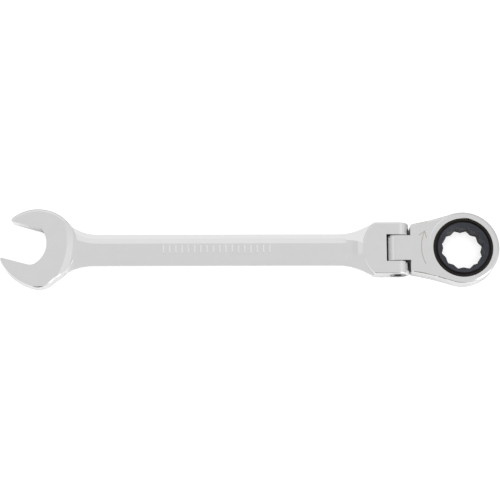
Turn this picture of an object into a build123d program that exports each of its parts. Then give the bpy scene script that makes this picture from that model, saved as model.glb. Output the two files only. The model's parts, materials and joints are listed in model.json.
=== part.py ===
"""A flex-head ratcheting combination wrench for 19 mm nuts, in millimetres.

The origin is the turning axis of the drive socket, halfway through the head.
+Z comes out of the socket's upper face, and the handle runs towards -X.
"""
import os
from math import atan2, cos, radians, sin, sqrt, tan

from build123d import *

# ---- driving dimensions -------------------------------------------------

NUT_ACROSS_FLATS = 19.0        # the size this wrench fits
DRIVE_PLAY = 0.08              # how much wider than the nut both drives are
RUN_GAP = 0.05                 # radial gap of every turning or sliding fit

# ratchet head
HEAD_RADIUS = 18.0
HEAD_HALF_T = 5.85             # half the thickness of the round head
NECK_HALF_T = 5.5              # half the thickness of its neck and tongue
BOSS_TOP_RADIUS = 17.0         # the raised ring round the socket
BOSS_FOOT_RADIUS = 17.6
SHOULDER_X = -26.2             # flat shoulders that face the fork
SHOULDER_HALF_W = 12.0
SHOULDER_ROUND = 1.8
NECK_MEETS_HEAD = 108.5        # degrees from +X where the neck's hollow side starts
HEAD_EDGE_ROUND = 0.8
BOSS_EDGE_DROP = 0.11          # how far the raised ring's slope runs down into that rounding
TONGUE_HALF_W = 6.25

# hinge
PIVOT_X = -32.3
KNUCKLE_RADIUS = NECK_HALF_T
FORK_HALF_T = 5.6
FORK_HALF_W = 13.0
SLOT_HALF_W = 6.8
SLOT_BOTTOM_X = PIVOT_X - 5.8
FORK_FACE_RADIUS = 17.7        # the fork's face ends on this circle round the hinge
FORK_CORNER_ROUND = 3.0
FORK_EDGE_ROUND = 0.8
RAMP_STEEP = (2.3, 0.45)       # run and slope of the ramp just behind that face
RAMP_SLOPE = 0.32              # its slope from there on
RAMP_TAIL = (0.45, 0.16)       # height and slope of its last stretch down to the shank
FLANK_WIDTH = 7.6              # of the bevel along the flares, under the face

# hinge screw, turned in from the -Y side
SCREW_HEAD_RADIUS = 4.1
SCREW_HEAD_T = 2.6
SCREW_BODY_RADIUS = 3.0
SCREW_THREAD_RADIUS = 2.5
SCREW_KEY_ACROSS_FLATS = 3.8
SCREW_KEY_DEPTH = 2.0
SCREW_SINK = 0.1               # how far both ends stay below the ears
SCREW_CHAMFER = 0.3
THREAD_GAP = 0.02
HINGE_WASHER_RADIUS = 4.8
HINGE_WASHER_T = 0.5

# ratchet gear and what holds it in
TEETH = 72
TOOTH_TIP_RADIUS = 14.0
TOOTH_ROOT_RADIUS = 13.45
HUB_RADIUS = 12.7
HUB_HALF_T = HEAD_HALF_T - 0.1
TOOTH_HALF_T = 3.3
TOOTH_GAP = 0.15               # between the tooth tips and the wall round them
MOUTH_RADIUS = 12.1            # the lead-in at each end of the socket
MOUTH_INNER_RADIUS = 9.9
MOUTH_DEPTH = 1.4
HUB_CHAMFER = 0.15
SOCKET_CORNER_ROUND = 0.5
BORE_CHAMFER = 0.2
SEAT_RADIUS = 14.8             # the wider bore for the cover washer and snap ring
COVER_T = 0.8
SNAP_RING_T = 1.0
SNAP_RING_INNER = 13.7
SNAP_RING_OUTER = 15.3
SNAP_RING_OPENING = 12.0       # degrees missing from the ring
SNAP_RING_START = 250.0        # degrees from +X where the ring starts
SNAP_RING_END_ROUND = 0.3
LAY_GAP = 0.05                 # between parts stacked along an axis

# pawl and its spring, on the handle side of the gear
PAWL_HALF_W = 4.4
PAWL_HALF_T = 2.7
PAWL_BACK_X = -19.0
PAWL_TRAVEL = 0.75
PAWL_TOOTH_GAP = 0.03
PAWL_RELIEF_STEPS = 5
PAWL_CHAMFER = 0.4
POCKET_END_X = PAWL_BACK_X - PAWL_TRAVEL - 0.15
SPRING_HOLE_RADIUS = 1.4
SPRING_HOLE_END_X = -24.2
SPRING_SEAT_X = -16.9
SPRING_COIL_RADIUS = 0.95
SPRING_WIRE_RADIUS = 0.2
SPRING_TURNS = 7

# handle
SHANK_HALF_W = 7.9
SHANK_HALF_T = 3.2
SHANK_FLAT_HALF_W = 2.8
SHANK_SIDE_HALF_T = 0.8
SHANK_CREASE = (5.4, 2.35)     # half width and half thickness where the bevel steepens
FORK_FLARE_START_X = -62.0
FORK_FLARE_RADIUS = 28.0
FORK_FLARE_ANGLE = 26.6        # degrees the flare opens to
FAR_JAW_FLARE = (-181.5, 24.0, 43.0)     # start, radius and degrees turned, on +Y
NEAR_JAW_FLARE = (-184.5, 25.0, 44.0)    # and on -Y

# open jaw
JAW_CENTRE = (-211.8, 0.9)
JAW_TILT = 15.0                # degrees between the jaw and the handle
JAW_HALF_T = 4.1
JAW_FLAT_END = -0.4            # where the flats end, along the jaw from its centre
JAW_THROAT = 4.4               # deepest point of the opening
JAW_TIP = -16.6                # where the opening's flats start
# each lobe's blunt tip, widest point and foot, in the jaw's own directions
FAR_LOBE = ((-16.1, 11.8), (0.0, 19.8), (17.8, 9.4))
NEAR_LOBE = ((-15.4, -12.0), (3.3, -19.9), (12.9, -13.6))
JAW_BACK = 19.2                # how far the jaw reaches into the shank
FAR_THROAT_ROUND = 1.6
NEAR_THROAT_ROUND = 4.5
JAW_TIP_ROUND = 0.7
JAW_FOOT_ROUND = 2.0
JAW_EDGE_ROUND = 1.6
JAW_STEP_RADIUS = 34.0         # the raised face ends on this arc towards the shank
JAW_STEP_MIDDLE = (14.8, -2.5) # middle of that arc
JAW_STEP_WIDTH = 3.0

# plain raised bars along the shank
BAR_COUNT = 18
BAR_ROW_START_X = -149.0
BAR_ROW_END_X = -96.0
BAR_HEIGHT = 4.2
BAR_WIDTH = 1.2
BAR_RAISE = 0.3
BAR_SLOPE = 42.0               # degrees that the bars' sides lean in

# engraved arrow on the neck
ARROW_TAIL = (-18.8, -8.3)
ARROW_MID = (-20.8, -0.1)
ARROW_TIP = (-19.0, 8.3)
ARROW_BARB_OUT = (-21.9, 6.3)
ARROW_BARB_IN = (-18.2, 4.9)
ARROW_LINE = 0.4
ARROW_DEPTH = 0.1

os.makedirs("parts", exist_ok=True)

HINGE_AXIS = Axis((PIVOT_X, 0, 0), (0, 1, 0))
# local x runs along the hinge axis (+Y), local y is the distance from it
HINGE_SECTION = Plane(origin=(PIVOT_X, 0, 0), x_dir=(0, 1, 0), z_dir=(0, 0, 1))
JAW_PLANE = Plane(
    origin=(JAW_CENTRE[0], JAW_CENTRE[1], 0),
    x_dir=(cos(radians(JAW_TILT)), -sin(radians(JAW_TILT)), 0),
    z_dir=(0, 0, 1),
)


def save(builder, label):
    """Name a finished piece and write it."""
    builder.part.label = label
    export_step(builder.part, f"parts/{label}.step")


# ---- handle: open jaw, shank and fork, one forging ----------------------

flat = (NUT_ACROSS_FLATS + DRIVE_PLAY) / 2


def flare_end(start_x, radius, turned, out):
    """Where a flare ends that leaves the straight shank at start_x towards out (-1 is the jaw)."""
    return (
        start_x + out * radius * sin(radians(turned)),
        SHANK_HALF_W + radius * (1 - cos(radians(turned))),
    )


def bevelled_bar(bevel_width, bevel_drop):
    """The shank with both flares and one flat bevel along every long edge."""
    far_x, far_radius, far_turned = FAR_JAW_FLARE
    near_x, near_radius, near_turned = NEAR_JAW_FLARE
    far_end = flare_end(*FAR_JAW_FLARE, out=-1)
    near_end = flare_end(*NEAR_JAW_FLARE, out=-1)
    with BuildPart() as bar:
        with BuildSketch():
            with BuildLine():
                JernArc((far_x, SHANK_HALF_W), (-1, 0), far_radius, -far_turned)
                Line(far_end, (near_end[0], -near_end[1]))
                JernArc((near_x, -SHANK_HALF_W), (-1, 0), near_radius, near_turned)
                Line((near_x, -SHANK_HALF_W), (FORK_FLARE_START_X, -SHANK_HALF_W))
                JernArc(
                    (FORK_FLARE_START_X, -SHANK_HALF_W),
                    (1, 0),
                    FORK_FLARE_RADIUS,
                    -FORK_FLARE_ANGLE,
                )
                Line((fork_flare_end[0], -fork_flare_end[1]), fork_flare_end)
                JernArc(
                    (FORK_FLARE_START_X, SHANK_HALF_W),
                    (1, 0),
                    FORK_FLARE_RADIUS,
                    FORK_FLARE_ANGLE,
                )
                Line((FORK_FLARE_START_X, SHANK_HALF_W), (far_x, SHANK_HALF_W))
            make_face()
        extrude(amount=SHANK_HALF_T, both=True)
        for face in (bar.faces().sort_by(Axis.Z)[-1], bar.faces().sort_by(Axis.Z)[0]):
            long_edges = face.edges().filter_by(
                lambda e: e.geom_type == GeomType.CIRCLE or abs((e @ 1).X - (e @ 0).X) > SHANK_HALF_W
            )
            chamfer(long_edges, length=bevel_width, length2=bevel_drop, reference=face)
    return bar.part


fork_flare_end = flare_end(FORK_FLARE_START_X, FORK_FLARE_RADIUS, FORK_FLARE_ANGLE, out=1)
fork_shoulder = (
    fork_flare_end[0] + (FORK_HALF_W - fork_flare_end[1]) / tan(radians(FORK_FLARE_ANGLE)),
    FORK_HALF_W,
)
ear_end_x = PIVOT_X + FORK_HALF_T

# each bevel is creased: a shallow facet beside the flat, a steeper one outside it
crease_y, crease_z = SHANK_CREASE
shallow = (SHANK_HALF_T - crease_z) / (crease_y - SHANK_FLAT_HALF_W)
steep = (crease_z - SHANK_SIDE_HALF_T) / (SHANK_HALF_W - crease_y)
with BuildPart() as shank:
    add(bevelled_bar(SHANK_HALF_W - SHANK_FLAT_HALF_W, shallow * (SHANK_HALF_W - SHANK_FLAT_HALF_W)))
    add(
        bevelled_bar((SHANK_HALF_T - SHANK_SIDE_HALF_T) / steep, SHANK_HALF_T - SHANK_SIDE_HALF_T),
        mode=Mode.INTERSECT,
    )

# the fork's face is bounded by a circle round the hinge, with rounded corners
corner_centre = (
    PIVOT_X - sqrt((FORK_FACE_RADIUS - FORK_CORNER_ROUND) ** 2 - (FORK_HALF_W - FORK_CORNER_ROUND) ** 2),
    FORK_HALF_W - FORK_CORNER_ROUND,
)
corner_angle = atan2(corner_centre[1], PIVOT_X - corner_centre[0])
corner_end = (
    PIVOT_X - FORK_FACE_RADIUS * cos(corner_angle),
    FORK_FACE_RADIUS * sin(corner_angle),
)

with BuildPart() as fork_face:
    with BuildSketch():
        with BuildLine():
            Polyline((ear_end_x, 0), (ear_end_x, FORK_HALF_W), (corner_centre[0], FORK_HALF_W))
            RadiusArc((corner_centre[0], FORK_HALF_W), corner_end, -FORK_CORNER_ROUND)
            mirror(about=Plane.XZ)
            ThreePointArc(corner_end, (PIVOT_X - FORK_FACE_RADIUS, 0), (corner_end[0], -corner_end[1]))
        make_face()
    extrude(amount=FORK_HALF_T, both=True)
    # the ears end in half cylinders round the hinge axis
    with BuildSketch(Plane.XZ):
        with Locations((PIVOT_X, 0)):
            Circle(FORK_HALF_T)
            Rectangle(FORK_FACE_RADIUS, 2 * FORK_HALF_T, align=(Align.MAX, Align.CENTER))
    extrude(amount=FORK_HALF_W, both=True, mode=Mode.INTERSECT)
    outlines = fork_face.faces().filter_by(Axis.Z).edges()
    ear_sides = fork_face.faces().filter_by(Axis.Y).edges().filter_by(GeomType.CIRCLE)
    fillet(outlines.filter_by(lambda e: (e @ 0.5).X < PIVOT_X) + ear_sides, FORK_EDGE_ROUND)

with BuildPart() as fork_ramp:
    with BuildSketch():
        with BuildLine():
            Line((FORK_FLARE_START_X, 0), (FORK_FLARE_START_X, SHANK_HALF_W))
            JernArc((FORK_FLARE_START_X, SHANK_HALF_W), (1, 0), FORK_FLARE_RADIUS, FORK_FLARE_ANGLE)
            Polyline(fork_flare_end, fork_shoulder, (PIVOT_X, FORK_HALF_W), (PIVOT_X, 0))
            mirror(about=Plane.XZ)
        make_face()
    extrude(amount=FORK_HALF_T, both=True)
    for face in (fork_ramp.faces().sort_by(Axis.Z)[-1], fork_ramp.faces().sort_by(Axis.Z)[0]):
        flare_edges = face.edges().filter_by(
            lambda e: fork_shoulder[0] > (e @ 0.5).X > FORK_FLARE_START_X
        )
        chamfer(flare_edges, length=FLANK_WIDTH, length2=FORK_HALF_T - SHANK_SIDE_HALF_T, reference=face)
    # behind the face the ramp falls in cones round the hinge
    knee_radius = FORK_FACE_RADIUS + RAMP_STEEP[0]
    knee_z = FORK_HALF_T - RAMP_STEEP[0] * RAMP_STEEP[1]
    tail_radius = knee_radius + (knee_z - SHANK_HALF_T - RAMP_TAIL[0]) / RAMP_SLOPE
    shank_radius = tail_radius + RAMP_TAIL[0] / RAMP_TAIL[1]
    foot_radius = shank_radius + SHANK_HALF_T / RAMP_STEEP[1]
    with BuildSketch(Plane.XZ):
        with BuildLine():
            Polyline(
                (PIVOT_X, 0),
                (PIVOT_X, FORK_HALF_T),
                (PIVOT_X - FORK_FACE_RADIUS, FORK_HALF_T),
                (PIVOT_X - knee_radius, knee_z),
                (PIVOT_X - tail_radius, SHANK_HALF_T + RAMP_TAIL[0]),
                (PIVOT_X - shank_radius, SHANK_HALF_T),
                (PIVOT_X - foot_radius, 0),
            )
            mirror(about=Plane.XZ)
        make_face()
    revolve(axis=Axis((PIVOT_X, 0, 0), (0, 0, 1)), mode=Mode.INTERSECT)
    # and its sides are rounded over like those of the face
    with BuildSketch(Plane.YZ):
        RectangleRounded(2 * FORK_HALF_W, 2 * FORK_HALF_T, FORK_EDGE_ROUND)
    extrude(amount=FORK_FLARE_START_X, mode=Mode.INTERSECT)

with BuildPart() as jaw:
    with BuildSketch(JAW_PLANE) as jaw_outline:
        with BuildLine():
            for tip, widest, foot in (FAR_LOBE, NEAR_LOBE):
                TangentArc(widest, tip, tangent=(-1, 0))
                TangentArc(widest, foot, tangent=(1, 0))
            ThreePointArc(NEAR_LOBE[2], (JAW_BACK, 0), FAR_LOBE[2])
            Polyline(FAR_LOBE[0], (JAW_TIP, flat), (JAW_FLAT_END, flat))
            ThreePointArc((JAW_FLAT_END, flat), (JAW_THROAT, 0), (JAW_FLAT_END, -flat))
            Polyline((JAW_FLAT_END, -flat), (JAW_TIP, -flat), NEAR_LOBE[0])
        make_face()
        for x, y, corner_round in (
            (JAW_FLAT_END, flat, FAR_THROAT_ROUND),
            (JAW_FLAT_END, -flat, NEAR_THROAT_ROUND),
            (JAW_TIP, flat, JAW_TIP_ROUND),
            (JAW_TIP, -flat, JAW_TIP_ROUND),
            (*FAR_LOBE[2], JAW_FOOT_ROUND),
            (*NEAR_LOBE[2], JAW_FOOT_ROUND),
        ):
            fillet(jaw_outline.vertices().sort_by_distance(Vector(x, y))[0], corner_round)
    extrude(amount=JAW_HALF_T, both=True)
    rims = jaw.faces().filter_by(Axis.Z).edges().filter_by(GeomType.CIRCLE)
    lobe_rims = rims.filter_by(
        lambda e: e.radius > SHANK_HALF_W
        and abs(JAW_PLANE.to_local_coords(e @ 0.5).Y) > flat + JAW_TIP_ROUND
    )
    fillet(lobe_rims, JAW_EDGE_ROUND)
    # towards the shank the raised face slopes down, along an arc, to the shank's flat
    step_centre = Vector(JAW_STEP_MIDDLE[0] - JAW_STEP_RADIUS, JAW_STEP_MIDDLE[1], 0)
    step_axis = Axis(JAW_PLANE.from_local_coords(step_centre), (0, 0, 1))
    for side in (1, -1):
        with BuildSketch(Plane(step_axis.position, x_dir=JAW_PLANE.x_dir, z_dir=-JAW_PLANE.y_dir)):
            Polygon(
                (JAW_STEP_RADIUS, side * JAW_HALF_T),
                (JAW_STEP_RADIUS + JAW_STEP_WIDTH, side * SHANK_HALF_T),
                (2 * JAW_STEP_RADIUS, side * SHANK_HALF_T),
                (2 * JAW_STEP_RADIUS, side * 2 * JAW_HALF_T),
                (JAW_STEP_RADIUS, side * 2 * JAW_HALF_T),
                align=None,
            )
        revolve(axis=step_axis, mode=Mode.SUBTRACT)

with BuildPart() as handle:
    add(shank.part)
    add(fork_ramp.part)
    add(fork_face.part)
    add(jaw.part)
    # a plain row of raised bars along both faces of the shank
    for side in (1, -1):
        with BuildSketch(Plane((0, 0, side * SHANK_HALF_T), x_dir=(1, 0, 0), z_dir=(0, 0, side))):
            with Locations(((BAR_ROW_START_X + BAR_ROW_END_X) / 2, 0)):
                with GridLocations((BAR_ROW_END_X - BAR_ROW_START_X) / (BAR_COUNT - 1), 0, BAR_COUNT, 1):
                    SlotOverall(BAR_HEIGHT, BAR_WIDTH, rotation=90)
        extrude(amount=BAR_RAISE, taper=BAR_SLOPE)
    # the slot for the head's tongue
    with BuildSketch():
        with Locations((SLOT_BOTTOM_X, 0)):
            Rectangle(ear_end_x - SLOT_BOTTOM_X, 2 * SLOT_HALF_W, align=(Align.MIN, Align.CENTER))
    extrude(amount=FORK_HALF_T, both=True, mode=Mode.SUBTRACT)
    # the stepped hole for the hinge screw, threaded in the far ear
    with BuildSketch(HINGE_SECTION):
        Polygon(
            (-FORK_HALF_W, 0),
            (-FORK_HALF_W, SCREW_HEAD_RADIUS + RUN_GAP),
            (SCREW_HEAD_T - FORK_HALF_W, SCREW_HEAD_RADIUS + RUN_GAP),
            (SCREW_HEAD_T - FORK_HALF_W, SCREW_BODY_RADIUS + RUN_GAP),
            (0, SCREW_BODY_RADIUS + RUN_GAP),
            (0, SCREW_THREAD_RADIUS + THREAD_GAP),
            (FORK_HALF_W, SCREW_THREAD_RADIUS + THREAD_GAP),
            (FORK_HALF_W, 0),
            align=None,
        )
    revolve(axis=HINGE_AXIS, mode=Mode.SUBTRACT)
save(handle, "handle")

# ---- ratchet head: round housing, neck and hinge tongue ------------------

ledge_z = TOOTH_HALF_T + LAY_GAP
snap_z = ledge_z + COVER_T + LAY_GAP
neck_start = (
    HEAD_RADIUS * cos(radians(NECK_MEETS_HEAD)),
    HEAD_RADIUS * sin(radians(NECK_MEETS_HEAD)),
)
neck_heading = (-sin(radians(NECK_MEETS_HEAD)), cos(radians(NECK_MEETS_HEAD)))

with BuildPart() as ratchet_head:
    with BuildSketch():
        with BuildLine():
            TangentArc(neck_start, (SHOULDER_X, SHOULDER_HALF_W), tangent=neck_heading)
            Line((SHOULDER_X, SHOULDER_HALF_W), (SHOULDER_X, 0))
            mirror(about=Plane.XZ)
            ThreePointArc(neck_start, (HEAD_RADIUS, 0), (neck_start[0], -neck_start[1]))
        make_face()
    extrude(amount=NECK_HALF_T, both=True)
    fillet(ratchet_head.edges().filter_by(Axis.Z).group_by(Axis.X)[0], SHOULDER_ROUND)
    fillet(
        ratchet_head.edges().filter_by(lambda e: (e @ 0).Z * (e @ 1).Z > 0),
        HEAD_EDGE_ROUND,
    )
    # the raised ring round the socket
    with BuildSketch(Plane.XZ):
        Polygon(
            (0, HEAD_HALF_T),
            (BOSS_TOP_RADIUS, HEAD_HALF_T),
            (BOSS_FOOT_RADIUS, NECK_HALF_T - BOSS_EDGE_DROP),
            (BOSS_FOOT_RADIUS, BOSS_EDGE_DROP - NECK_HALF_T),
            (BOSS_TOP_RADIUS, -HEAD_HALF_T),
            (0, -HEAD_HALF_T),
            align=None,
        )
    revolve(axis=Axis.Z)
    # the tongue, rounded about the hinge axis
    with BuildSketch(Plane.XZ):
        with Locations((PIVOT_X, 0)):
            Circle(KNUCKLE_RADIUS)
            Rectangle(
                SHOULDER_X - PIVOT_X + HEAD_EDGE_ROUND + SHOULDER_ROUND,
                2 * NECK_HALF_T,
                align=(Align.MIN, Align.CENTER),
            )
    extrude(amount=TONGUE_HALF_W, both=True)
    # the bore: lip below, tooth space, seat of the cover washer and snap ring groove
    with BuildSketch(Plane.XZ):
        Polygon(
            (0, -HEAD_HALF_T),
            (HUB_RADIUS + RUN_GAP, -HEAD_HALF_T),
            (HUB_RADIUS + RUN_GAP, -ledge_z),
            (TOOTH_TIP_RADIUS + TOOTH_GAP, -ledge_z),
            (TOOTH_TIP_RADIUS + TOOTH_GAP, ledge_z),
            (SEAT_RADIUS, ledge_z),
            (SEAT_RADIUS, snap_z - LAY_GAP),
            (SNAP_RING_OUTER + LAY_GAP, snap_z - LAY_GAP),
            (SNAP_RING_OUTER + LAY_GAP, snap_z + SNAP_RING_T + LAY_GAP),
            (SEAT_RADIUS, snap_z + SNAP_RING_T + LAY_GAP),
            (SEAT_RADIUS, HEAD_HALF_T - BORE_CHAMFER),
            (SEAT_RADIUS + BORE_CHAMFER, HEAD_HALF_T),
            (0, HEAD_HALF_T),
            align=None,
        )
    revolve(axis=Axis.Z, mode=Mode.SUBTRACT)
    # the pawl's pocket opens into the tooth space, with the spring's hole behind it
    with BuildSketch():
        with Locations((POCKET_END_X, 0)):
            Rectangle(
                -POCKET_END_X - HUB_RADIUS,
                2 * (PAWL_HALF_W + RUN_GAP),
                align=(Align.MIN, Align.CENTER),
            )
    extrude(amount=PAWL_HALF_T + RUN_GAP, both=True, mode=Mode.SUBTRACT)
    with BuildSketch(Plane.YZ.offset(SPRING_HOLE_END_X)):
        Circle(SPRING_HOLE_RADIUS)
    extrude(amount=POCKET_END_X - SPRING_HOLE_END_X, mode=Mode.SUBTRACT)
    with BuildSketch(Plane.XZ):
        with Locations((PIVOT_X, 0)):
            Circle(SCREW_BODY_RADIUS + RUN_GAP)
    extrude(amount=TONGUE_HALF_W, both=True, mode=Mode.SUBTRACT)
    # an engraved curved arrow shows which way the socket is driven
    with BuildSketch(Plane.XY.offset(NECK_HALF_T - ARROW_DEPTH)):
        with BuildLine():
            shaft = ThreePointArc(ARROW_TAIL, ARROW_MID, ARROW_TIP)
            Line(ARROW_TIP, ARROW_BARB_OUT)
            Line(ARROW_TIP, ARROW_BARB_IN)
        trace(line_width=ARROW_LINE)
    extrude(amount=2 * ARROW_DEPTH, mode=Mode.SUBTRACT)
save(ratchet_head, "ratchet_head")

# ---- ratchet gear: saw teeth outside, twelve-point socket inside ---------


def tooth_outline(growth=0.0):
    """Corner points of the saw-toothed rim: a long slope, a short crest and a steep drop.

    The steep sides face anticlockwise seen from +Z, so the pawl can only push the
    gear clockwise.
    """
    pitch = 360 / TEETH
    points = []
    for tooth in range(TEETH):
        for share, radius in ((0.0, TOOTH_ROOT_RADIUS), (0.78, TOOTH_TIP_RADIUS), (0.88, TOOTH_TIP_RADIUS)):
            angle = radians((tooth + share) * pitch)
            points.append(((radius + growth) * cos(angle), (radius + growth) * sin(angle)))
    return points


with BuildPart() as ratchet_gear:
    with BuildSketch(Plane.XY.offset(-HUB_HALF_T)):
        Circle(HUB_RADIUS)
    extrude(amount=2 * HUB_HALF_T)
    chamfer(ratchet_gear.edges().filter_by(GeomType.CIRCLE), HUB_CHAMFER)
    with BuildSketch(Plane.XY.offset(-TOOTH_HALF_T)):
        Polygon(*tooth_outline(), align=None)
    extrude(amount=2 * TOOTH_HALF_T)
    with BuildSketch(Plane.XY.offset(-HUB_HALF_T)) as twelve_point:
        for turn in (15, 45):
            RegularPolygon(flat, 6, major_radius=False, rotation=turn)
        fillet(twelve_point.vertices(), SOCKET_CORNER_ROUND)
    extrude(amount=2 * HUB_HALF_T, mode=Mode.SUBTRACT)
    # the lead-in at both mouths
    with BuildSketch(Plane.XZ):
        Polygon(
            (0, HUB_HALF_T),
            (MOUTH_RADIUS, HUB_HALF_T),
            (MOUTH_INNER_RADIUS, HUB_HALF_T - MOUTH_DEPTH),
            (0, HUB_HALF_T - MOUTH_DEPTH),
            align=None,
        )
        mirror(about=Plane.XY)
    revolve(axis=Axis.Z, mode=Mode.SUBTRACT)
save(ratchet_gear, "ratchet_gear")

# ---- pawl, in mesh with the gear, and its spring -------------------------

with BuildPart() as pawl:
    with BuildSketch(Plane.XY.offset(-PAWL_HALF_T)):
        with Locations((PAWL_BACK_X, 0)):
            Rectangle(-PAWL_BACK_X - HUB_RADIUS, 2 * PAWL_HALF_W, align=(Align.MIN, Align.CENTER))
        # the teeth keep clear of the gear all along the pawl's travel
        for step in range(PAWL_RELIEF_STEPS + 1):
            with Locations((PAWL_TRAVEL * step / PAWL_RELIEF_STEPS, 0)):
                Polygon(*tooth_outline(PAWL_TOOTH_GAP), align=None, mode=Mode.SUBTRACT)
    extrude(amount=2 * PAWL_HALF_T)
    with BuildSketch(Plane.YZ.offset(PAWL_BACK_X)):
        Circle(SPRING_HOLE_RADIUS)
    extrude(amount=SPRING_SEAT_X - PAWL_BACK_X, mode=Mode.SUBTRACT)
    chamfer(pawl.edges().filter_by(Axis.Z).group_by(Axis.X)[0], PAWL_CHAMFER)
save(pawl, "pawl")

with BuildPart() as pawl_spring:
    end_room = SPRING_WIRE_RADIUS + LAY_GAP
    coil_start = SPRING_HOLE_END_X + end_room
    coil_length = SPRING_SEAT_X - end_room - coil_start
    with BuildLine():
        coil = Helix(
            pitch=coil_length / SPRING_TURNS,
            height=coil_length,
            radius=SPRING_COIL_RADIUS,
            center=(coil_start, 0, 0),
            direction=(1, 0, 0),
        )
    with BuildSketch(Plane(origin=coil @ 0, z_dir=coil % 0)):
        Circle(SPRING_WIRE_RADIUS)
    sweep(path=coil, is_frenet=True)
save(pawl_spring, "pawl_spring")

# ---- cover washer and snap ring ------------------------------------------

with BuildPart() as cover_washer:
    with BuildSketch(Plane.XY.offset(ledge_z)):
        Circle(SEAT_RADIUS - RUN_GAP)
        Circle(HUB_RADIUS + RUN_GAP, mode=Mode.SUBTRACT)
    extrude(amount=COVER_T)
save(cover_washer, "cover_washer")

with BuildPart() as snap_ring:
    with BuildSketch(Plane.XY.offset(snap_z)):
        with BuildLine():
            outer = CenterArc((0, 0), SNAP_RING_OUTER, SNAP_RING_START, 360 - SNAP_RING_OPENING)
            inner = CenterArc((0, 0), SNAP_RING_INNER, SNAP_RING_START, 360 - SNAP_RING_OPENING)
            Line(outer @ 0, inner @ 0)
            Line(outer @ 1, inner @ 1)
        make_face()
    extrude(amount=SNAP_RING_T)
    fillet(snap_ring.edges().filter_by(Axis.Z), SNAP_RING_END_ROUND)
save(snap_ring, "snap_ring")

# ---- hinge screw and the washers beside the tongue -----------------------

with BuildPart() as hinge_screw:
    head_face = SCREW_SINK - FORK_HALF_W
    thread_end = FORK_HALF_W - SCREW_SINK
    with BuildSketch(HINGE_SECTION):
        Polygon(
            (head_face, 0),
            (head_face, SCREW_HEAD_RADIUS - SCREW_CHAMFER),
            (head_face + SCREW_CHAMFER, SCREW_HEAD_RADIUS),
            (SCREW_HEAD_T - FORK_HALF_W, SCREW_HEAD_RADIUS),
            (SCREW_HEAD_T - FORK_HALF_W, SCREW_BODY_RADIUS),
            (SLOT_HALF_W, SCREW_BODY_RADIUS),
            (SLOT_HALF_W, SCREW_THREAD_RADIUS),
            (thread_end - SCREW_CHAMFER, SCREW_THREAD_RADIUS),
            (thread_end, SCREW_THREAD_RADIUS - SCREW_CHAMFER),
            (thread_end, 0),
            align=None,
        )
    revolve(axis=HINGE_AXIS)
    with BuildSketch(Plane(origin=(PIVOT_X, head_face, 0), x_dir=(1, 0, 0), z_dir=(0, -1, 0))):
        RegularPolygon(SCREW_KEY_ACROSS_FLATS / 2, 6, major_radius=False)
    extrude(amount=-SCREW_KEY_DEPTH, mode=Mode.SUBTRACT)
save(hinge_screw, "hinge_screw")

washer_y = (TONGUE_HALF_W + SLOT_HALF_W) / 2

with BuildPart() as near_hinge_washer:
    with BuildSketch(Plane(origin=(PIVOT_X, -washer_y, 0), x_dir=(1, 0, 0), z_dir=(0, -1, 0))):
        Circle(HINGE_WASHER_RADIUS)
        Circle(SCREW_BODY_RADIUS + RUN_GAP, mode=Mode.SUBTRACT)
    extrude(amount=HINGE_WASHER_T / 2, both=True)
save(near_hinge_washer, "near_hinge_washer")

with BuildPart() as far_hinge_washer:
    add(near_hinge_washer.part.mirror(Plane.XZ))
save(far_hinge_washer, "far_hinge_washer")
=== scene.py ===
"""The looks of a flex-head ratcheting combination wrench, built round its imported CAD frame."""
import json
import math

import bmesh
import bpy
from mathutils import Matrix, Vector


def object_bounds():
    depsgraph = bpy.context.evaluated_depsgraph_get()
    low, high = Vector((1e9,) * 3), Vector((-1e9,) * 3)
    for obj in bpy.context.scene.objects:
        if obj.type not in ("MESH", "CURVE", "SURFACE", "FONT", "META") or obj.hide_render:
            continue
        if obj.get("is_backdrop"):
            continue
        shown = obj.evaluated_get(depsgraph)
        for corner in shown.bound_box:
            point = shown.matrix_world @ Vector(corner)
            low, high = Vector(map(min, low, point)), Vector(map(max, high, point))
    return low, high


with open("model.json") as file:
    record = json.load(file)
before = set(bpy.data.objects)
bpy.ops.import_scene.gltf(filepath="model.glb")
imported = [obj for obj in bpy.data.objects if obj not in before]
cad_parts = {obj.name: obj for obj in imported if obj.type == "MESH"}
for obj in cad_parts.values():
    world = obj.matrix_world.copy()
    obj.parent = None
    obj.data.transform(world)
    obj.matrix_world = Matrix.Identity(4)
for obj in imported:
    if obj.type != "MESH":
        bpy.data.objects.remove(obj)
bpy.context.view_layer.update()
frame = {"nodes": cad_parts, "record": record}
MM = 0.001

# the engraved arrow on the head's neck
NECK_FACE_Z = 5.5 * MM
ARROW_START_X = -23 * MM
ARROW_END_X = -17.6 * MM
ARROW_SHADE_TOP = 0.04 * MM          # depths below the face between which the painted shade in the arrow's groove lies
ARROW_SHADE_BOTTOM = 0.16 * MM
# the raised bars on the handle's shank
SHANK_FACE_Z = 3.2 * MM
BAR_ROW_START_X = -150 * MM
BAR_ROW_END_X = -95 * MM
BAR_HIGHLIGHT_HEIGHT = 0.1 * MM   # height above the face from which a bar's top gets the painted highlight


# ---- node helpers ---------------------------------------------------------

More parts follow.
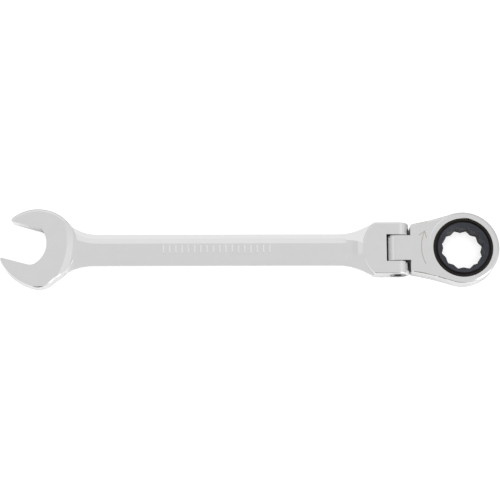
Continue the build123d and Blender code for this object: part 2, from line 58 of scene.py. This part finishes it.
class Graph:
    """A short way to add and join shader nodes."""

    def __init__(self, tree):
        self.tree = tree

    def node(self, kind, **settings):
        made = self.tree.nodes.new(kind)
        for name, value in settings.items():
            setattr(made, name, value)
        return made

    def join(self, source, target):
        self.tree.links.new(source, target)

    def feed(self, target, value):
        """Put a number, a colour or another node's output into an input."""
        if isinstance(value, bpy.types.NodeSocket):
            self.join(value, target)
        else:
            target.default_value = value

    def math(self, operation, a, b=0.0):
        made = self.node("ShaderNodeMath", operation=operation)
        self.feed(made.inputs[0], a)
        self.feed(made.inputs[1], b)
        return made.outputs[0]

    def between(self, value, low, high):
        """1 where the value lies between two limits, 0 elsewhere."""
        above = self.math("GREATER_THAN", value, low)
        below = self.math("LESS_THAN", value, high)
        return self.math("MULTIPLY", above, below)

    def mix(self, share, a, b):
        made = self.node("ShaderNodeMix", data_type="RGBA")
        self.feed(made.inputs["Factor"], share)
        self.feed(made.inputs["A"], a)
        self.feed(made.inputs["B"], b)
        return made.outputs["Result"]

    def span(self, value, low, high, to_low, to_high, soft=False):
        """Map one range of values onto another, held at its ends."""
        made = self.node("ShaderNodeMapRange", interpolation_type="SMOOTHSTEP" if soft else "LINEAR")
        self.feed(made.inputs["Value"], value)
        limits = {"From Min": low, "From Max": high, "To Min": to_low, "To Max": to_high}
        for name, number in limits.items():
            made.inputs[name].default_value = number
        return made.outputs["Result"]

    def spread(self, noise, to_low, to_high):
        """Map a noise's middle range, where most of its values lie, onto another range."""
        return self.span(noise, 0.3, 0.7, to_low, to_high)

    def split(self, vector):
        """A vector's outputs, by the names X, Y and Z."""
        made = self.node("ShaderNodeSeparateXYZ")
        self.join(vector, made.inputs[0])
        return made.outputs

    def gray(self, value):
        made = self.node("ShaderNodeCombineXYZ")
        for axis in "XYZ":
            self.join(value, made.inputs[axis])
        return made.outputs["Vector"]

    def place(self):
        """Coordinates fixed to the piece, in metres, so that a pattern stays on it as it moves."""
        return self.node("ShaderNodeTexCoord").outputs["Object"]

    def noise(self, scale, detail=2.0, roughness=0.5, stretch=(1, 1, 1)):
        stretched = self.node("ShaderNodeMapping")
        self.join(self.place(), stretched.inputs["Vector"])
        stretched.inputs["Scale"].default_value = stretch
        made = self.node("ShaderNodeTexNoise")
        self.join(stretched.outputs["Vector"], made.inputs["Vector"])
        made.inputs["Scale"].default_value = scale
        made.inputs["Detail"].default_value = detail
        made.inputs["Roughness"].default_value = roughness
        return made.outputs["Fac"]

    def bump(self, height, distance, strength, after=None):
        made = self.node("ShaderNodeBump")
        self.join(height, made.inputs["Height"])
        made.inputs["Distance"].default_value = distance
        made.inputs["Strength"].default_value = strength
        if after is not None:
            self.join(after, made.inputs["Normal"])
        return made.outputs["Normal"]


def rgba(level, tint=(1.0, 1.0, 1.0)):
    return (level * tint[0], level * tint[1], level * tint[2], 1.0)


def material(name):
    """A new node material, with its graph and the principled shader to fill in."""
    made = bpy.data.materials.new(name)
    made.use_nodes = True
    shader = made.node_tree.nodes["Principled BSDF"]
    return made, Graph(made.node_tree), shader


# ---- materials ------------------------------------------------------------

CHROME_DULL = rgba(0.86, tint=(0.99, 0.995, 1.0))
CHROME_BRIGHT = rgba(0.90, tint=(1.0, 0.998, 0.995))
# a painted highlight for the tops of the raised bars
BAR_PAINTED_HIGHLIGHT = rgba(1.0)
# painted shade, brownish, for the floor of the engraved arrow's groove
ARROW_SHADE_DARK = (0.56, 0.52, 0.45, 1)
ARROW_SHADE_LIGHT = (0.68, 0.64, 0.57, 1)
COATING_SPECULAR = 0.26        # a rough coating shines less than bare steel at a flat angle


def brushed_chrome(g, shader):
    """Satin plating on a forging: soft reflections, faint clouds and fine polishing lines."""
    clouds = g.noise(scale=190, detail=3, roughness=0.55)
    lines = g.noise(scale=900, roughness=0.6, stretch=(0.06, 1, 1))
    grain = g.noise(scale=5200, roughness=0.6)
    shader.inputs["Metallic"].default_value = 1.0
    rough = g.math("ADD", g.spread(clouds, 0.15, 0.2), g.spread(lines, -0.015, 0.025))
    g.feed(shader.inputs["Roughness"], rough)
    waves = g.bump(g.noise(scale=120), distance=0.05 * MM, strength=0.4)
    g.feed(shader.inputs["Normal"], g.bump(grain, distance=0.003 * MM, strength=0.4, after=waves))
    return g.mix(clouds, CHROME_DULL, CHROME_BRIGHT)


def satin_chrome():
    """The handle's plating, with a painted highlight that colours the raised bars' tops brighter than
    the shank.
    """
    made, g, shader = material("satin_chrome")
    color = brushed_chrome(g, shader)
    place = g.split(g.place())
    height = g.math("ABSOLUTE", place["Z"])
    raised = g.math("GREATER_THAN", height, SHANK_FACE_Z + BAR_HIGHLIGHT_HEIGHT)
    on_bar = g.math("MULTIPLY", raised, g.between(place["X"], BAR_ROW_START_X, BAR_ROW_END_X))
    # the bars' tops get a lighter colour: a painted highlight
    g.feed(shader.inputs["Base Color"], g.mix(on_bar, color, BAR_PAINTED_HIGHLIGHT))
    return made


def head_chrome():
    """The head's plating, with painted shade, tinted brownish, on the floor of the engraved arrow."""
    made, g, shader = material("head_chrome")
    color = brushed_chrome(g, shader)
    place = g.split(g.place())
    in_depth = g.between(place["Z"], NECK_FACE_Z - ARROW_SHADE_BOTTOM, NECK_FACE_Z - ARROW_SHADE_TOP)
    on_arrow = g.math("MULTIPLY", in_depth, g.between(place["X"], ARROW_START_X, ARROW_END_X))
    # painted shade in the arrow's groove, a brownish darkening
    groove_shade = g.mix(g.noise(scale=900), ARROW_SHADE_DARK, ARROW_SHADE_LIGHT)
    g.feed(shader.inputs["Base Color"], g.mix(on_arrow, color, groove_shade))
    return made


def dark_finish(name, low, high, rough_low, rough_high):
    """A rough dark coating on steel: cloudy, with little shine even at a flat angle."""
    made, g, shader = material(name)
    clouds = g.noise(scale=420, detail=4, roughness=0.6)
    g.feed(shader.inputs["Base Color"], g.mix(g.spread(clouds, 0, 1), low, high))
    shader.inputs["Specular IOR Level"].default_value = COATING_SPECULAR
    g.feed(shader.inputs["Roughness"], g.spread(clouds, rough_low, rough_high))
    g.feed(shader.inputs["Normal"], g.bump(g.noise(scale=3800), distance=0.006 * MM, strength=0.5))
    return made


def dark_steel():
    """Phosphated gear steel, blue-grey."""
    return dark_finish("dark_gear_steel", (0.038, 0.041, 0.052, 1), (0.056, 0.059, 0.072, 1), 0.30, 0.40)


def black_oxide():
    """Oiled black snap ring and washers, a little brown."""
    return dark_finish("black_oxide", (0.011, 0.009, 0.007, 1), (0.019, 0.016, 0.012, 1), 0.32, 0.42)


def cloudy_metal(name, low, high, rough_low, rough_high):
    """Smooth steel with faint clouds, and its graph and shader for more to be added."""
    made, g, shader = material(name)
    clouds = g.noise(scale=600, detail=3, roughness=0.6)
    g.feed(shader.inputs["Base Color"], g.mix(clouds, low, high))
    shader.inputs["Metallic"].default_value = 1.0
    g.feed(shader.inputs["Roughness"], g.spread(clouds, rough_low, rough_high))
    return made, g, shader


def spring_steel():
    return cloudy_metal("spring_steel", (0.30, 0.30, 0.31, 1), (0.42, 0.42, 0.43, 1), 0.25, 0.35)[0]


def plated_screw():
    """The hinge screw's grey plating, with a fine grain."""
    made, g, shader = cloudy_metal(
        "plated_screw", (0.20, 0.20, 0.21, 1), (0.28, 0.28, 0.29, 1), 0.2, 0.3
    )
    g.feed(shader.inputs["Normal"], g.bump(g.noise(scale=3000), distance=0.004 * MM, strength=0.4))
    return made


MATERIALS = {
    "satin_chrome": satin_chrome(),
    "head_chrome": head_chrome(),
    "dark_gear_steel": dark_steel(),
    "black_oxide": black_oxide(),
    "spring_steel": spring_steel(),
    "plated_screw": plated_screw(),
}
slots = {part["node"]: part["material_slot"] for part in frame["record"]["subparts"]}
slots["ratchet_head"] = "head_chrome"
for name, node in frame["nodes"].items():
    node.data.materials.clear()
    node.data.materials.append(MATERIALS[slots[name]])


# ---- light ----------------------------------------------------------------

# light that the room sends from each side
OVERHEAD_LIGHT = 0.72
BACK_LIGHT = 0.92              # low behind the wrench
NEAR_LIGHT = 0.78              # low in front of it and below
FAR_FLOOR_LIGHT = 0.42         # from the floor behind it
# parts of a direction, Y away from the camera and Z up, between which one light fades into another
OVERHEAD_TO_BACK_Y = (0.30, 0.97)
FLOOR_TO_BACK_Z = (0.0, 0.16)
NEAR_TO_OVERHEAD_Z = (0.10, 0.42)
NEAR_TO_FAR_Y = (-0.12, 0.16)
# direction, inner and outer angle in degrees, and light added
LAMP_BOXES = [
    ((0.48, -0.17, 0.86), 3, 8, 0.9),        # high on the right
    ((0.60, 0.10, 0.79), 8, 20, 0.12),       # a wide, faint glow on the right
    ((0.66, -0.54, 0.52), 4, 22, 1.3),       # in front on the right
    ((-0.69, 0.21, 0.69), 4, 12, 0.09),      # faint, on the left
    ((-0.51, 0.21, 0.83), 3, 7, -0.07),      # a faint shade, high on the left
    ((-0.09, -0.99, 0.03), 10, 20, -1.0),    # a dark card level in front
]


def room_light(g, direction):
    """A soft tent: grey overhead, brighter low behind and in front, with lamp boxes and a dark card."""
    toward = g.split(direction)
    behind = g.span(toward["Y"], *OVERHEAD_TO_BACK_Y, OVERHEAD_LIGHT, BACK_LIGHT)
    far_side = g.mix(
        g.span(toward["Z"], *FLOOR_TO_BACK_Z, 0, 1, soft=True),
        rgba(FAR_FLOOR_LIGHT),
        g.gray(behind),
    )
    near_side = g.span(toward["Z"], *NEAR_TO_OVERHEAD_Z, NEAR_LIGHT, OVERHEAD_LIGHT, soft=True)
    light = g.mix(g.span(toward["Y"], *NEAR_TO_FAR_Y, 0, 1, soft=True), g.gray(near_side), far_side)
    for middle, inner, outer, amount in LAMP_BOXES:
        facing = g.node("ShaderNodeVectorMath", operation="DOT_PRODUCT")
        g.join(direction, facing.inputs[0])
        facing.inputs[1].default_value = Vector(middle).normalized()
        edge = (math.cos(math.radians(outer)), math.cos(math.radians(inner)))
        glow = g.span(facing.outputs["Value"], *edge, 0, amount, soft=True)
        added = g.node("ShaderNodeVectorMath", operation="ADD")
        g.join(light, added.inputs[0])
        g.join(g.gray(glow), added.inputs[1])
        light = added.outputs["Vector"]
    return light


def studio():
    """The room's light, on the world."""
    world = bpy.data.worlds.new("studio")
    bpy.context.scene.world = world
    world.use_nodes = True
    g = Graph(world.node_tree)
    back = world.node_tree.nodes["Background"]
    g.join(room_light(g, g.node("ShaderNodeTexCoord").outputs["Generated"]), back.inputs["Color"])
    back.inputs["Strength"].default_value = 1.0


# ---- floor ----------------------------------------------------------------

FLOOR_HALF_SIZE = 3.0          # metres
FLOOR_CELLS = 8
FLOOR_DARK = rgba(0.20)
FLOOR_PALE = rgba(0.22)
SEEN_LIGHT = 1.0               # the floor's glow for the camera
GAP_REACH = 30 * MM            # how far round a spot the pieces that close it in are looked for
# open shares of a spot's surroundings between which its glow sets in
SEEN_OPENNESS = (0.10, 0.22)
MIRRORED_OPENNESS = (0.33, 0.43)
MIRRORED_GAP_SHARE = 0.03      # what a reflection keeps of the glow in a gap


def floor_white():
    """A glowing white: plain for the camera, and the room's light in the wrench's reflections."""
    made, g, shader = material("floor_white")
    g.feed(shader.inputs["Base Color"], g.mix(g.noise(scale=3), FLOOR_DARK, FLOOR_PALE))
    shader.inputs["Roughness"].default_value = 0.9
    shader.inputs["Emission Color"].default_value = (1, 1, 1, 1)
    # painted shade: the floor's glow fades in deep gaps for the camera, and in the socket also for
    # reflections
    openness = g.node("ShaderNodeAmbientOcclusion", samples=6)
    openness.inputs["Distance"].default_value = GAP_REACH
    open_share = openness.outputs["AO"]
    seen = g.span(open_share, *SEEN_OPENNESS, 0.0, SEEN_LIGHT, soft=True)
    lit_share = g.span(open_share, *MIRRORED_OPENNESS, MIRRORED_GAP_SHARE, 1.0, soft=True)
    # a reflection that meets the floor takes the room's light from the way it is heading
    geometry = g.node("ShaderNodeNewGeometry")
    heading = g.node("ShaderNodeVectorMath", operation="SCALE")
    g.join(geometry.outputs["Incoming"], heading.inputs[0])
    heading.inputs["Scale"].default_value = -1.0
    mirrored = g.math("MULTIPLY", lit_share, g.split(room_light(g, heading.outputs["Vector"]))["X"])
    to_camera = g.node("ShaderNodeLightPath").outputs["Is Camera Ray"]
    glow = g.math("ADD", g.math("MULTIPLY", to_camera, g.math("SUBTRACT", seen, mirrored)), mirrored)
    g.feed(shader.inputs["Emission Strength"], glow)
    # from below the floor is clear, so that it doesn't hide the underside
    from_below = g.node("ShaderNodeMixShader")
    g.join(geometry.outputs["Backfacing"], from_below.inputs[0])
    g.join(shader.outputs[0], from_below.inputs[1])
    g.join(g.node("ShaderNodeBsdfTransparent").outputs[0], from_below.inputs[2])
    g.join(from_below.outputs[0], made.node_tree.nodes["Material Output"].inputs["Surface"])
    return made


def floor():
    """A level ground that touches the wrench's lowest point."""
    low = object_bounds()[0]
    mesh = bpy.data.meshes.new("floor")
    work = bmesh.new()
    bmesh.ops.create_grid(work, x_segments=FLOOR_CELLS, y_segments=FLOOR_CELLS, size=FLOOR_HALF_SIZE)
    bmesh.ops.translate(work, verts=work.verts, vec=(0, 0, low.z))
    work.to_mesh(mesh)
    work.free()
    mesh.materials.append(floor_white())
    piece = bpy.data.objects.new("floor", mesh)
    bpy.context.scene.collection.objects.link(piece)
    piece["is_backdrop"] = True


# ---- camera ---------------------------------------------------------------

CAMERA_TARGET = Vector((-0.1059, 0.00013, 0))    # metres
CAMERA_DISTANCE = 0.82                           # metres
CAMERA_ELEVATION = 77.5                          # degrees
CAMERA_ROLL = -0.14                              # degrees
CAMERA_LENS = 118.2                              # millimetres, as the sensor's width
CAMERA_SENSOR = 36.0


def camera():
    """A long lens in front of the wrench, looking steeply down."""
    elevation = math.radians(CAMERA_ELEVATION)
    data = bpy.data.cameras.new("camera")
    data.lens = CAMERA_LENS
    data.sensor_width = CAMERA_SENSOR
    piece = bpy.data.objects.new("camera", data)
    bpy.context.scene.collection.objects.link(piece)
    back = Vector((0, -math.cos(elevation), math.sin(elevation)))
    piece.location = CAMERA_TARGET + CAMERA_DISTANCE * back
    tilt = Matrix.Rotation(math.pi / 2 - elevation, 3, "X")
    roll = Matrix.Rotation(math.radians(CAMERA_ROLL), 3, "Z")
    piece.rotation_euler = (tilt @ roll).to_euler()
    bpy.context.scene.camera = piece


floor()
studio()
camera()
bpy.context.scene.view_settings.view_transform = "Standard"
